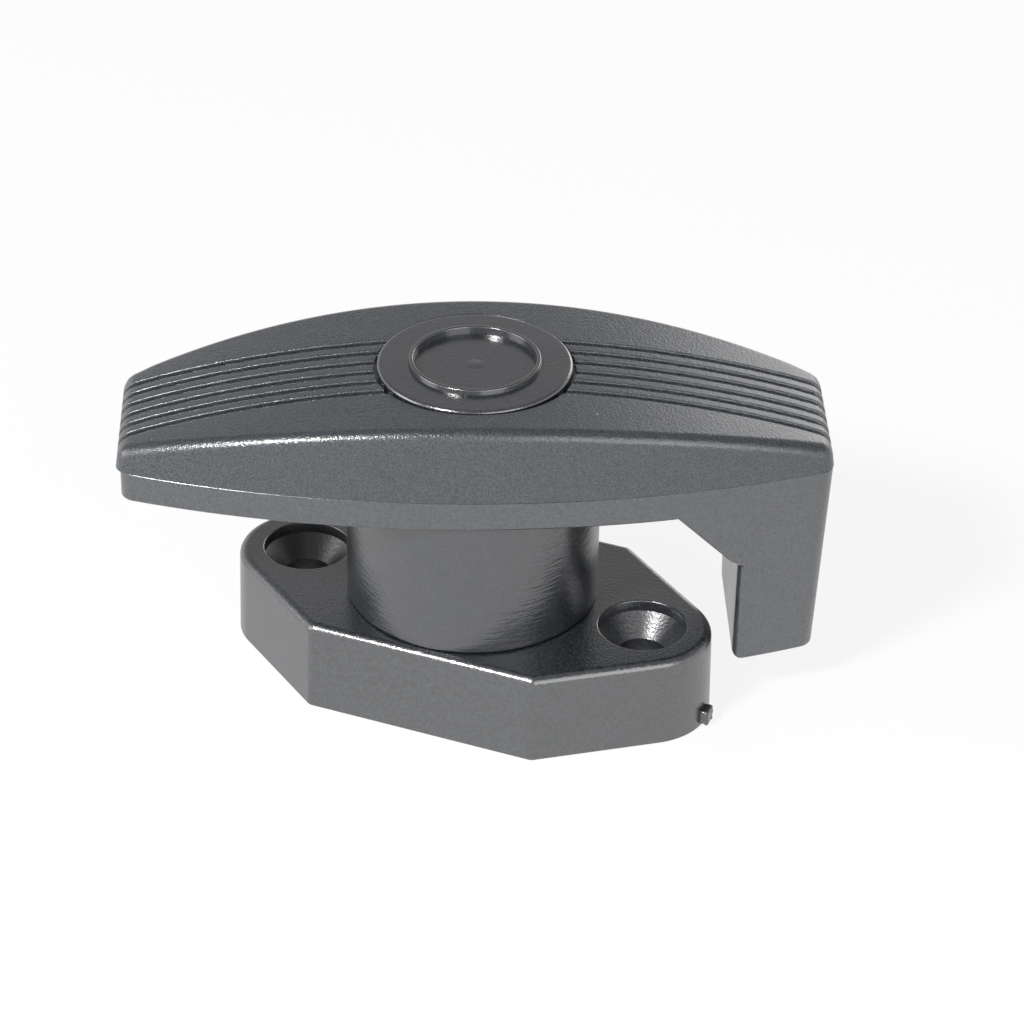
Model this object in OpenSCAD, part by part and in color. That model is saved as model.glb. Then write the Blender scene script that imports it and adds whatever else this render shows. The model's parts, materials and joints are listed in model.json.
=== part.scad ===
// Pull-and-turn door holder: a T-handle with a hook, sprung down onto a two-screw base.
// Millimetres. +Z points away from the wall and +X runs along the line of the screw holes.
// The origin is on the pivot axis, in the plane of the wall.

/* [Base plate] */
// Distance between the two screw holes
hole_pitch = 50; // [46:1:56]
// Radius of the rounded ends, about the screw holes
base_end_r = 9.4; // [8.5:0.1:11]
// Radius of the corners at the ends of the parallel sides
base_corner_r = 1.4; // [1:0.1:3]
// Length of the two parallel sides, over their rounded corners
base_flat = 34.5; // [26:0.5:36]
// How far the base stands out past the post on each parallel side
base_margin = 1; // [0.8:0.1:4]
// Thickness of the base
base_h = 13; // [11.5:0.5:16]
// Rounding of the upper edge of the base
base_edge_r = 0.9; // [0.4:0.1:1.5]
// How much wider the foot of the base is than its top, on each side
base_draft = 0.2; // [0:0.05:0.5]
// Thickness of the outer wall round the hollow underside
base_wall = 3; // [2:0.25:4]
// Thickness of the plate above the hollow underside
base_roof = 4; // [3:0.25:6]
// Thickness of the stiffening ribs in the underside
base_rib = 2; // [1.2:0.1:3]
// Diameter of a mounting screw hole
screw_d = 6.5; // [5:0.1:7]
// Diameter of a countersink at the top face
sink_d = 12; // [10:0.25:14]
// Depth of the straight wall above a countersink's cone
sink_wall = 1.6; // [0.2:0.1:3]

/* [Post] */
// Height of the post between the base and the underside of the handle
post_h = 19.9; // [18:0.1:26]
// Wall of the post round the spring well
post_wall = 4; // [3:0.25:5]
// Room between the spring washers and the wall of the well
well_room = 1.2; // [0.6:0.1:2]
// Thickness of the floor of the spring well over the pivot boss
post_floor = 2.7; // [2:0.1:4]

/* [Handle] */
// Length of the handle
handle_len = 95.2; // [92:0.2:110]
// Width of the handle at each end
handle_end_w = 20.6; // [17:0.2:26]
// How far the middle of the handle stands out past the post on each side
handle_margin = 1.3; // [0.8:0.1:3]
// Height of the smooth lower half, from the underside to the seam
body_h = 4.5; // [3.5:0.1:6]
// Height of the grained cover above the seam, in the middle
cover_mid_h = 10.6; // [9:0.1:14]
// Height of the grained cover above the seam, at the ends
cover_end_h = 3.2; // [3:0.1:5]
// Wall of both halves of the handle
handle_wall = 2.4; // [1.8:0.1:3]
// Rounding of the long upper edges of the cover
cover_edge_r = 1.5; // [0.8:0.1:2.5]
// Rounding of the lower edges of the handle
body_edge_r = 0.4; // [0.3:0.1:1.2]
// How far the cover overhangs the lower half at the plain end
end_overhang = 0.6; // [0:0.1:1.2]
// How far the sides of the cover lean in from the seam
side_draft = 0.4; // [0.1:0.1:0.8]
// How far the end faces of the cover lean in
end_draft = 0.4; // [0:0.1:0.8]
// Rounding of the handle's upright corners
end_corner_r = 1.2; // [0.6:0.1:1.6]
// Inset of the lower half's sides from the cover's
seam_step = 0.15; // [0.05:0.05:0.3]
// Angle of the handle from the line of the screw holes
handle_angle = 24; // [-180:1:180]

/* [Grip grooves] */
// Number of grooves along the top
groove_count = 6; // [4:1:8]
// Flat left beside the outermost groove at the ends of the handle
groove_land = 0.15; // [0.05:0.05:0.6]
// Width of a groove at the surface
groove_w = 1.1; // [0.6:0.1:1.4]
// Depth of a groove
groove_depth = 0.7; // [0.3:0.05:0.9]

/* [Hook] */
// Gap between the hook and the end of the base as it swings past
hook_clear = 0.8; // [0.5:0.1:3]
// How far the tip hangs below the underside of the handle
hook_drop = 25.7; // [20:0.1:27]
// Length along the arm of the sloping gusset in the inner corner
hook_gusset = 8.5; // [4:0.5:10]
// Height of that gusset
gusset_h = 9.5; // [4:0.5:11]
// How far each side of the lower half has drawn in from the seam to the hook's tip
hook_taper = 3.5; // [1:0.1:4]
// How far the outer face of the hook has leaned in at the tip
hook_lean = 1.1; // [0.5:0.1:3]
// How far the hook's inner face leans away from the post towards the tip
hook_draft = 0.15; // [0.05:0.05:0.5]
// Rounding of the hook's edges
hook_edge_r = 1.1; // [0.5:0.1:2]

/* [Centre cap] */
// Diameter of the cap's flange
cap_d = 26.2; // [24:0.2:28]
// Thickness of the flange
cap_t = 1.6; // [1.2:0.1:2]
// How far the flange stands above the top of the cover
cap_proud = 0.25; // [0:0.05:0.5]
// Outside diameter of the raised ring
ring_d = 17.8; // [14:0.2:20]
// Width of the raised ring
ring_w = 0.8; // [0.6:0.1:1.5]
// Height of the raised ring
ring_h = 0.7; // [0.4:0.1:1.2]
// Depth of the dished centre below the flange
dish_depth = 0.35; // [0.2:0.05:0.6]
// Outside diameter of the snap skirt under the flange
skirt_d = 21.6; // [19:0.2:22]
// Length of the snap skirt
skirt_h = 3.6; // [3:0.1:5]
// Wall of the snap skirt
skirt_wall = 1.4; // [1:0.1:1.8]
// How far the snap bead stands out from the skirt
snap_bead = 0.35; // [0.2:0.05:0.5]
// Width of the slots that part the skirt into legs
skirt_slot = 3; // [2:0.5:5]
// Thickness of the cover under the flange
seat_web = 2.2; // [1.8:0.1:2.6]

/* [Pivot and spring] */
// Diameter of the pivot bolt
bolt_d = 8; // [6:1:8]
// Width across the flats of the bolt head and the lock nut
hex_af = 13; // [10:1:13]
// Height of the bolt head
head_h = 5.3; // [4:0.1:6]
// Depth of the bolt head inside the base
head_recess = 0.6; // [0.2:0.1:1.5]
// Room between the bolt's end and the cap
bolt_room = 1.4; // [0.8:0.1:3]
// Length of the bolt's thread that shows above the nut
thread_show = 0.8; // [0.4:0.1:1.5]
// Height of the lock nut
nut_h = 8; // [6:0.1:8]
// Diameter of the boss on the base that the post turns on
boss_d = 18; // [15:0.5:20]
// Height of that boss
boss_h = 2.5; // [1.5:0.1:3.5]
// Diameter of the two spring washers
washer_d = 24; // [22:0.5:26]
// Height of the lock nut's nylon ring
insert_h = 1.8; // [1.4:0.1:2.2]
// Thickness of the two spring washers
washer_t = 2; // [1.5:0.1:2.5]
// Mean diameter of the return spring
spring_d = 18; // [15:0.5:20]
// Wire diameter of the return spring
spring_wire = 1.6; // [1.2:0.1:2]
// Number of turns of the return spring
spring_turns = 5; // [4:0.5:6]

/* [Cover screws] */
// Wall between the post and the hole for a cover screw's head
cover_screw_gap = 2.6; // [2:0.1:3.5]
// Diameter of a cover screw's thread
cover_screw_d = 3; // [2.5:0.1:3.5]
// Diameter of a cover screw's head
cover_head_d = 5.4; // [5:0.1:6]
// Height of a cover screw's head
cover_head_h = 1.8; // [1.4:0.1:2]
// Thickness of the lower half above a cover screw's head
screw_floor = 1.6; // [1.2:0.1:2]
// Length of a cover screw in the cover
screw_bite = 5; // [4:0.1:6]

/* [Clearances] */
// Running gap at the pivot
run_gap = 0.1; // [0.05:0.01:0.2]
// Gap round a piece that drops into a seat
seat_gap = 0.25; // [0.1:0.05:0.3]

/* [Hidden] */

overlap = 0.2;           // how far joined shapes of one piece run into each other
through = 1;             // overrun of a cut past the face it leaves
stations = 9;            // slices of the handle between its rounded ends
corner_steps = 4;        // points on a rounded corner of a slice
round_fn = 96;
arc_fn = 360;            // for the long arcs of the handle

// Heights above the wall, from the base up
foot_z = base_h + run_gap;
under_z = foot_z + post_h;
seam_z = under_z + body_h;
crown_z = seam_z + cover_mid_h;
well_z = foot_z + boss_h + run_gap + post_floor;
seat_top_z = well_z + washer_t;
cap_top_z = crown_z + cap_proud;
cap_seat_z = cap_top_z - cap_t;
tip_z = under_z - hook_drop;
head_z = head_recess + head_h;
bolt_end_z = cap_seat_z - bolt_room;
nut_z = bolt_end_z - thread_show - nut_h;
keeper_z = nut_z - washer_t;
spring_len = keeper_z - seat_top_z;

// Plan sizes
well_d = washer_d + 2 * well_room;
post_d = well_d + 2 * post_wall;
base_half_w = post_d / 2 + base_margin;
base_half_len = hole_pitch / 2 + base_end_r;
handle_half = handle_len / 2;
handle_half_w = post_d / 2 + handle_margin;
handle_end_half = handle_end_w / 2;
hook_x = base_half_len + hook_clear;
cap_seat_d = cap_d + 2 * seat_gap;
cap_hole_d = skirt_d + 2 * seat_gap;
cover_boss_d = cover_screw_d + 4.5;
cover_head_hole = cover_head_d + 2 * seat_gap;
cover_screw_x = post_d / 2 + cover_screw_gap + cover_head_hole / 2;
gusset_len = min(hook_gusset, hook_x - cover_screw_x - cover_head_hole / 2 - 0.5);
hex_pocket_af = hex_af + 2 * run_gap;
bolt_hole_d = bolt_d + 2 * run_gap;
washer_bore = bolt_d + 0.5;

// Radius of the arc that rises from end to mid over half_len
function arc_r(half_len, rise) = (half_len * half_len + rise * rise) / (2 * rise);

// Fall of an arc of radius r at distance x from its top
function arc_fall(x, r) = r - sqrt(r * r - x * x);

// How far a corner of radius r has turned away at distance d from the end
function turned(d, r) = d >= r ? 0 : arc_fall(r - d, r);

side_r = arc_r(handle_half, handle_half_w - handle_end_half);
dome_r = arc_r(handle_half, cover_mid_h - cover_end_h);

// Half-width of the handle at the seam
function handle_w(x) = handle_half_w - arc_fall(x, side_r);

// Evenly spread values from a to b
function spread(a, b, n) = [for (i = [0 : n]) a + (b - a) * i / n];

// Points of an arc about c from angle a to b
function arc_points(c, r, a, b, n) = [for (t = spread(a, b, n)) c + r * [cos(t), sin(t)]];

// A solid through rows of points, each row a closed loop with the same number of points
module loft(rows) {
    n = len(rows[0]);
    last = len(rows) - 1;
    walls = [for (i = [0 : last - 1], j = [0 : n - 1])
        let (a = i * n + j, b = i * n + (j + 1) % n)
        each [[a, b + n, b], [a, a + n, b + n]]];
    near = [for (j = [0 : n - 1]) j];
    far = [for (j = [n - 1 : -1 : 0]) last * n + j];
    polyhedron([for (row = rows) each row], concat(walls, [near, far]), convexity = 12);
}

module disc(d, z0, z1) {
    translate([0, 0, z0]) cylinder(d = d, h = z1 - z0, $fn = round_fn);
}

module hexagon(af, z0, z1) {
    translate([0, 0, z0]) cylinder(d = af / cos(30), h = z1 - z0, $fn = 6);
}

// Everything on the handle is drawn along +X, hook end first, and then turned to its angle
module turned_handle() { rotate([0, 0, handle_angle]) children(); }

// Base plate

// Direction of the straight edge that joins a round end to a corner of the parallel sides
edge_angle = let (to_corner = [base_flat / 2 - base_corner_r - hole_pitch / 2,
                               base_half_w - base_corner_r])
    atan2(to_corner[1], to_corner[0])
    - acos((base_end_r - base_corner_r) / norm(to_corner));

// Outline of the base drawn in by inset: round ends, and rounded corners on the parallel sides
function base_points(inset) =
    let (corner_r = max(base_corner_r - inset, 0.3),
         corner_y = base_half_w - inset - corner_r,
         edge_at = hole_pitch / 2 * cos(edge_angle) + base_end_r - inset - corner_r,
         corner = [(edge_at - corner_y * sin(edge_angle)) / cos(edge_angle), corner_y],
         quarter = concat(
             arc_points([hole_pitch / 2, 0], base_end_r - inset, 0, edge_angle, 7),
             arc_points(corner, corner_r, edge_angle, 90, 3)),
         half = concat(quarter, [for (i = [len(quarter) - 1 : -1 : 1])
             [-quarter[i][0], quarter[i][1]]]))
    concat(half, [[-half[0][0], 0]],
           [for (i = [len(half) - 1 : -1 : 1]) [half[i][0], -half[i][1]]]);

function base_row(z, inset) = [for (p = base_points(inset)) [p[0], p[1], z]];

module base_block() {
    loft(concat([base_row(0, -base_draft)],
                [for (a = spread(0, 90, 4))
                    base_row(base_h - base_edge_r * (1 - sin(a)), base_edge_r * (1 - cos(a)))]));
}

// The hollow underside, with ribs and the bosses for the screws and the bolt left standing
module base_hollow() {
    screw_boss_d = screw_d + 2 * base_wall;
    bolt_boss_d = hex_pocket_af / cos(30) + 2 * base_wall;
    difference() {
        translate([0, 0, -through])
            linear_extrude(base_h - base_roof + through) polygon(base_points(base_wall));
        for (s = [-1, 1])
            translate([s * hole_pitch / 2, 0, 0]) disc(screw_boss_d, -2 * through, base_h);
        disc(bolt_boss_d, -2 * through, base_h);
        for (a = [0, 90])
            rotate([0, 0, a])
                translate([-base_half_len, -base_rib / 2, -2 * through])
                    cube([2 * base_half_len, base_rib, base_h + 2 * through]);
    }
}

// A hole for a countersunk screw, its cone sunk below the top face
module screw_hole() {
    cone_h = (sink_d - screw_d) / 2;
    cone_z = base_h - sink_wall - cone_h;
    disc(screw_d, -through, base_h + through);
    translate([0, 0, cone_z]) cylinder(d1 = screw_d, d2 = sink_d, h = cone_h, $fn = round_fn);
    disc(sink_d, cone_z + cone_h, base_h + through);
}

module base_plate() {
    color([0.10, 0.10, 0.11])
        difference() {
            union() {
                base_block();
                disc(boss_d, base_h - overlap, base_h + boss_h);
            }
            base_hollow();
            for (s = [-1, 1]) translate([s * hole_pitch / 2, 0, 0]) screw_hole();
            hexagon(hex_pocket_af, -through, head_z);
            disc(bolt_hole_d, 0, base_h + boss_h + through);
        }
}

// Pivot and spring, held by the base

module pivot_bolt() {
    tip_chamfer = 0.8;
    color([0.72, 0.73, 0.74]) {
        hexagon(hex_af, head_recess, head_z);
        disc(bolt_d, head_z - overlap, bolt_end_z - tip_chamfer);
        translate([0, 0, bolt_end_z - tip_chamfer])
            cylinder(d1 = bolt_d, d2 = bolt_d - 2 * tip_chamfer, h = tip_chamfer, $fn = round_fn);
    }
}

module washer(z) {
    difference() {
        disc(washer_d, z, z + washer_t);
        disc(washer_bore, z - through, z + washer_t + through);
    }
}

module spring_seat() { color([0.70, 0.71, 0.72]) washer(well_z); }

module retaining_washer() { color([0.70, 0.71, 0.72]) washer(keeper_z); }

// Height of the spring's wire after t turns: closed at both ends, open between
function spring_z(t) =
    let (closed = spring_wire * 1.03, free = spring_len - spring_wire / 2 - 2 * closed)
    t < 1 ? closed * t :
    t > spring_turns - 1 ? closed + free + closed * (t - spring_turns + 1) :
    closed + free * (t - 1) / (spring_turns - 2);

// The wire's round section after t turns
function spring_row(t) = [for (a = [0 : 45 : 315])
    let (r = (spring_d + spring_wire * cos(a)) / 2)
    [r * cos(360 * t), r * sin(360 * t), spring_z(t) + spring_wire * (1 / 4 - sin(a) / 2)]];

// The wire's ends are ground flat, so that they sit on the washers
module return_spring() {
    color([0.60, 0.61, 0.63])
        translate([0, 0, seat_top_z])
            intersection() {
                loft([for (t = spread(0, spring_turns, round(20 * spring_turns))) spring_row(t)]);
                disc(spring_d + 3 * spring_wire, 0, spring_len);
            }
}

insert_d = bolt_d + 2.4;
thread_bore = bolt_d + run_gap;

module lock_nut() {
    collar_h = 2.4;
    collar_d = hex_af - 0.6;
    color([0.72, 0.73, 0.74])
        difference() {
            union() {
                hexagon(hex_af, nut_z, nut_z + nut_h - collar_h);
                disc(collar_d, nut_z + overlap, nut_z + nut_h);
            }
            disc(thread_bore, nut_z - through, nut_z + nut_h + through);
            disc(insert_d, nut_z + nut_h - insert_h, nut_z + nut_h + through);
        }
}

module nut_insert() {
    color([0.20, 0.32, 0.55])
        difference() {
            disc(insert_d, nut_z + nut_h - insert_h, nut_z + nut_h);
            disc(thread_bore, nut_z, nut_z + nut_h + through);
        }
}

// Handle

// Places along the handle where a slice is drawn: close together at the rounded ends
function slice_places(half_len) =
    let (r = end_corner_r, ends = [half_len, half_len - 0.1 * r, half_len - 0.4 * r])
    concat(-ends, spread(r - half_len, half_len - r, 2 * stations),
           [for (i = [2 : -1 : 0]) ends[i]]);

// The grooves in a slice whose top is at z, from +y to -y
groove_edge = handle_end_half - side_draft - cover_edge_r - end_corner_r - groove_land;
groove_pitch = 2 * (groove_edge - groove_w / 2) / (groove_count - 1);
function groove_points(z) =
    [for (i = [0 : groove_count - 1])
        let (y = groove_edge - groove_w / 2 - i * groove_pitch, floor_w = groove_w / 3)
        each [[y + groove_w / 2, z], [y + floor_w / 2, z - groove_depth],
              [y - floor_w / 2, z - groove_depth], [y - groove_w / 2, z]]];

// One slice across a half of the handle as [y, z] points, square on the seam and rounded by r
// at the far face. Seen along +X it runs anticlockwise when the far face is the upper one.
function slice_points(half, far_half, near_z, far_z, r, grooves) =
    let (up = sign(far_z - near_z), c = [far_half - r, far_z - up * r],
         corner = [for (a = spread(0, 90, corner_steps)) c + r * [cos(a), up * sin(a)]],
         other = [for (i = [corner_steps : -1 : 0]) [-corner[i][0], corner[i][1]]])
    concat([[-half, near_z], [half, near_z]], corner, grooves ? groove_points(far_z) : [], other);

// Upper half of the handle: a bowed plan under a dome, with the grooves in every slice and the
// ends leaning in
module cover_block() {
    loft([for (x = slice_places(handle_half))
        let (drop = turned(handle_half - abs(x), end_corner_r), half = handle_w(x) - drop,
             top = crown_z - arc_fall(x, dome_r) - drop)
        [for (p = slice_points(half, half - side_draft, seam_z, top, cover_edge_r, true))
            [x * (1 - end_draft * (p[1] - seam_z) / cover_end_h / handle_half), p[0], p[1]]]]);
}

// Lower half, from the plain end, where the cover overhangs it, to the hook's outer face
body_start_x = end_overhang - handle_half;
body_end_x = handle_half - seam_step;
gusset_x = hook_x - gusset_len;

// Inset of the lower half's sides at height z: one even lean from the seam to the hook's tip
function body_inset(z) = seam_step + hook_taper * (seam_z - z) / (seam_z - tip_z);

// A slice of the lower half at x, down to low_z, drawn in by drop at the seam and by far_drop
// at the low face. Towards the end it leans in as the hook's outer face does.
function body_slice(x, low_z, drop, far_drop) =
    let (half = handle_w(x) - seam_step - drop,
         far_half = handle_w(x) - body_inset(low_z) - far_drop,
         out = max(0, x - hook_x) / (body_end_x - hook_x))
    [for (p = slice_points(half, far_half, seam_z, low_z, body_edge_r, false))
        [x - hook_lean * out * (seam_z - p[1]) / (seam_z - tip_z), -p[0], p[1]]];

// One loft along the handle: plain arm, gusset, inner face of the hook, hook
module body_block() {
    arm = [for (i = [0 : 3]) let (d = [0, 0.1, 0.4, 1][i] * end_corner_r,
                                  drop = turned(d, end_corner_r))
        body_slice(body_start_x + d, under_z + drop, drop, drop)];
    grip = [for (x = spread(body_start_x + 4 * end_corner_r, gusset_x, 2 * stations))
        body_slice(x, under_z, 0, 0)];
    corner = [body_slice(hook_x, under_z - gusset_h, 0, 0)];
    inner = [for (d = [0, 0.1, 0.4, 1] * hook_edge_r)
        let (drop = turned(d, hook_edge_r))
        body_slice(hook_x + hook_draft + d, tip_z + drop, 0, drop)];
    outer = [for (d = [3, 1, 0.4, 0.1, 0] * end_corner_r)
        let (drop = turned(d, end_corner_r))
        body_slice(body_end_x - d, tip_z + drop, drop, drop)];
    loft(concat(arm, grip, corner, inner, outer));
}

// Plan of the handle drawn in by inset, as true arcs
module handle_plan(inset) {
    intersection() {
        intersection_for(s = [-1, 1])
            translate([0, s * (side_r - handle_half_w)]) circle(r = side_r - inset, $fn = arc_fn);
        square([2 * (handle_half - inset), 4 * handle_half_w], center = true);
    }
}

// Hollow of the hook, moulded from above and so open at the seam
module hook_hollow() {
    x0 = hook_x + handle_wall;
    loft([for (z = [tip_z + handle_wall, seam_z + through])
        let (x1 = body_end_x - handle_wall - hook_lean * (seam_z - z) / (seam_z - tip_z),
             y0 = handle_w(x0) - body_inset(z) - handle_wall,
             y1 = handle_w(x1) - body_inset(z) - handle_wall)
        [[x0, y0, z], [x0, -y0, z], [x1, -y1, z], [x1, y1, z]]]);
}

module body_hollow() {
    inset = handle_wall + body_inset(under_z);
    translate([0, 0, under_z + handle_wall])
        linear_extrude(body_h)
            intersection() {
                handle_plan(inset);
                translate([end_overhang, 0])
                    square([2 * (handle_half - inset), 4 * handle_half_w], center = true);
            }
}

module cover_screw_places() {
    for (s = [-1, 1]) translate([s * cover_screw_x, 0, 0]) children();
}

module handle_body() {
    color([0.14, 0.14, 0.15])
        turned_handle()
            difference() {
                union() {
                    difference() {
                        body_block();
                        body_hollow();
                        hook_hollow();
                    }
                    disc(post_d, foot_z, seam_z);
                    cover_screw_places() disc(cover_boss_d, under_z + overlap, seam_z);
                }
                disc(well_d, well_z, seam_z + through);
                disc(boss_d + 2 * run_gap, foot_z - through, foot_z + boss_h + run_gap);
                disc(bolt_hole_d, foot_z, seam_z);
                cover_screw_places() {
                    disc(cover_screw_d + 2 * run_gap, under_z - through, seam_z + through);
                    disc(cover_head_hole, under_z - through, seam_z - screw_floor);
                }
            }
}

// The room under the cover, as high as the dome less its wall
module cover_hollow() {
    intersection() {
        translate([0, 0, seam_z - through])
            linear_extrude(cover_mid_h + 2 * through) handle_plan(handle_wall);
        translate([0, 0, crown_z - dome_r])
            rotate([90, 0, 0])
                cylinder(r = dome_r - handle_wall, h = 4 * handle_half_w, center = true,
                         $fn = arc_fn);
    }
}

module handle_cover() {
    seat_ring_d = cap_seat_d + 2 * handle_wall;
    color([0.17, 0.17, 0.18])
        turned_handle()
            difference() {
                cover_block();
                difference() {
                    cover_hollow();
                    disc(seat_ring_d, cap_seat_z - seat_web, crown_z + through);
                    cover_screw_places() disc(cover_boss_d, seam_z, crown_z + through);
                }
                disc(cap_seat_d, cap_seat_z, crown_z + through);
                disc(cap_hole_d, seam_z - through, crown_z);
                cover_screw_places()
                    disc(cover_screw_d + run_gap, seam_z - through, seam_z + screw_bite + 0.5);
            }
}

module cover_screws() {
    head_top = seam_z - screw_floor;
    slot_w = 0.8;
    slot_depth = 1;
    color([0.70, 0.71, 0.72])
        turned_handle()
            cover_screw_places()
                difference() {
                    union() {
                        disc(cover_head_d, head_top - cover_head_h, head_top);
                        disc(cover_screw_d, head_top - overlap, seam_z + screw_bite);
                    }
                    for (a = [0, 90])
                        rotate([0, 0, a])
                            translate([-cover_head_d / 3, -slot_w / 2,
                                       head_top - cover_head_h - through])
                                cube([2 * cover_head_d / 3, slot_w, slot_depth + through]);
                }
}

module centre_cap() {
    flange_r = cap_d / 2;
    ring_r = ring_d / 2;
    dish_r = ring_r - ring_w;
    skirt_r = skirt_d / 2;
    rim_r = 0.4;
    bead_z = cap_seat_z - seat_web - 0.3;
    color([0.12, 0.12, 0.13])
        turned_handle() {
            // flange with a rounded rim, a raised ring and a dished centre
            rotate_extrude($fn = round_fn)
                polygon(concat(
                    [[0, cap_seat_z], [flange_r, cap_seat_z]],
                    arc_points([flange_r - rim_r, cap_top_z - rim_r], rim_r, 0, 90, 4),
                    [[ring_r, cap_top_z]],
                    arc_points([ring_r - ring_w / 2, cap_top_z + ring_h - ring_w / 2],
                               ring_w / 2, 0, 180, 6),
                    [[dish_r, cap_top_z - dish_depth], [0, cap_top_z - dish_depth]]));
            // snap skirt, split into four legs
            difference() {
                rotate_extrude($fn = round_fn)
                    polygon([[skirt_r - skirt_wall, cap_seat_z + overlap],
                             [skirt_r, cap_seat_z + overlap], [skirt_r, bead_z],
                             [skirt_r + snap_bead, bead_z - snap_bead],
                             [skirt_r - 0.2, cap_seat_z - skirt_h],
                             [skirt_r - skirt_wall, cap_seat_z - skirt_h]]);
                for (a = [45, 135])
                    rotate([0, 0, a])
                        translate([-cap_d, -skirt_slot / 2, cap_seat_z - skirt_h - through])
                            cube([2 * cap_d, skirt_slot, skirt_h + through]);
            }
        }
}

base_plate();
pivot_bolt();
spring_seat();
return_spring();
retaining_washer();
lock_nut();
nut_insert();
handle_body();
handle_cover();
cover_screws();
centre_cap();
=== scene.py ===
"""Looks of the pull-and-turn door holder: its mouldings, hardware, finishes, stage and camera."""

import json
import math
from contextlib import contextmanager

import bmesh
import bpy
from bpy.props import FloatProperty, FloatVectorProperty, IntProperty, PointerProperty
from mathutils import Matrix, Vector

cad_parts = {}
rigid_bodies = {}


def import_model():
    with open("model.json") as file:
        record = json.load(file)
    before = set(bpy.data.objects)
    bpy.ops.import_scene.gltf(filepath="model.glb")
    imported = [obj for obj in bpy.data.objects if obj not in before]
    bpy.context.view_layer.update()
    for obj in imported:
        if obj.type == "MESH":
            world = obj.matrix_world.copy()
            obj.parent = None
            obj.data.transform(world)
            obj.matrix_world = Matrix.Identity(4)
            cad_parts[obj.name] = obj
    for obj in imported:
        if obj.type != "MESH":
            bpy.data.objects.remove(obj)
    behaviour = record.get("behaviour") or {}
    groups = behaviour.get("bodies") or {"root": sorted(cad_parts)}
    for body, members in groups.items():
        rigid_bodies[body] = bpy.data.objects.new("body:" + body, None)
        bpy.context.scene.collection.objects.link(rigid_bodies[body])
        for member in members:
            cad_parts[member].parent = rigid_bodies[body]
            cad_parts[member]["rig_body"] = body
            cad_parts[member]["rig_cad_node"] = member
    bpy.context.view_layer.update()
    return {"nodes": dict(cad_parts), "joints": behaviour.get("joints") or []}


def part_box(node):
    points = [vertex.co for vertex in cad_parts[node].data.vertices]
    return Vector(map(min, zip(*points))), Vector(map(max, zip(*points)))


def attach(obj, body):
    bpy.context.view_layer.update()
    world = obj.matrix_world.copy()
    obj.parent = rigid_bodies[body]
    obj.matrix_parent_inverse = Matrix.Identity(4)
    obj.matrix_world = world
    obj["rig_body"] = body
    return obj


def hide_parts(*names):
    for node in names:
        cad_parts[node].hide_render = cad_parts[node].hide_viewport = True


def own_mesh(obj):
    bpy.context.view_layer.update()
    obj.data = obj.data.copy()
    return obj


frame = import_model()

bl_info = {
    "name": "Door Holder",
    "version": (1, 0, 0),
    "blender": (4, 5, 0),
    "location": "View3D > Sidebar > Door Holder",
    "description": "Models the mouldings of a door holder round its frame and sets the studio",
    "category": "Add Mesh",
}

MM = 0.001
TINY = 0.002 * MM
BOSS_H = 2.5 * MM
RUN_GAP = 0.1 * MM
CORNER = 0.6  # radians that the faces beside a corner's edge turn by, at least
FINE = 2600  # spots of the fine moulding texture along a metre
SHINE = 0.9  # specular level of every plastic
BASE_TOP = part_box("base_plate")[1].z - BOSS_H
FOOT = BASE_TOP + RUN_GAP
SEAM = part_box("handle_cover")[0].z
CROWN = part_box("handle_cover")[1].z
CAP_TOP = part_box("centre_cap")[1].z
SPRING_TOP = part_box("return_spring")[1].z


def length(name, mm, description):
    """A size in millimetres, kept in metres."""
    return FloatProperty(name=name, description=description, default=mm * MM, unit="LENGTH")


def turn(name, degrees, description):
    """An angle in degrees, kept in radians."""
    return FloatProperty(
        name=name, description=description, default=math.radians(degrees), unit="ROTATION"
    )


def share(name, value, description):
    """A plain number."""
    return FloatProperty(name=name, description=description, default=value)


def colour(name, value, description):
    """A linear colour."""
    return FloatVectorProperty(
        name=name, description=description, default=value, subtype="COLOR", min=0, max=1
    )


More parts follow.
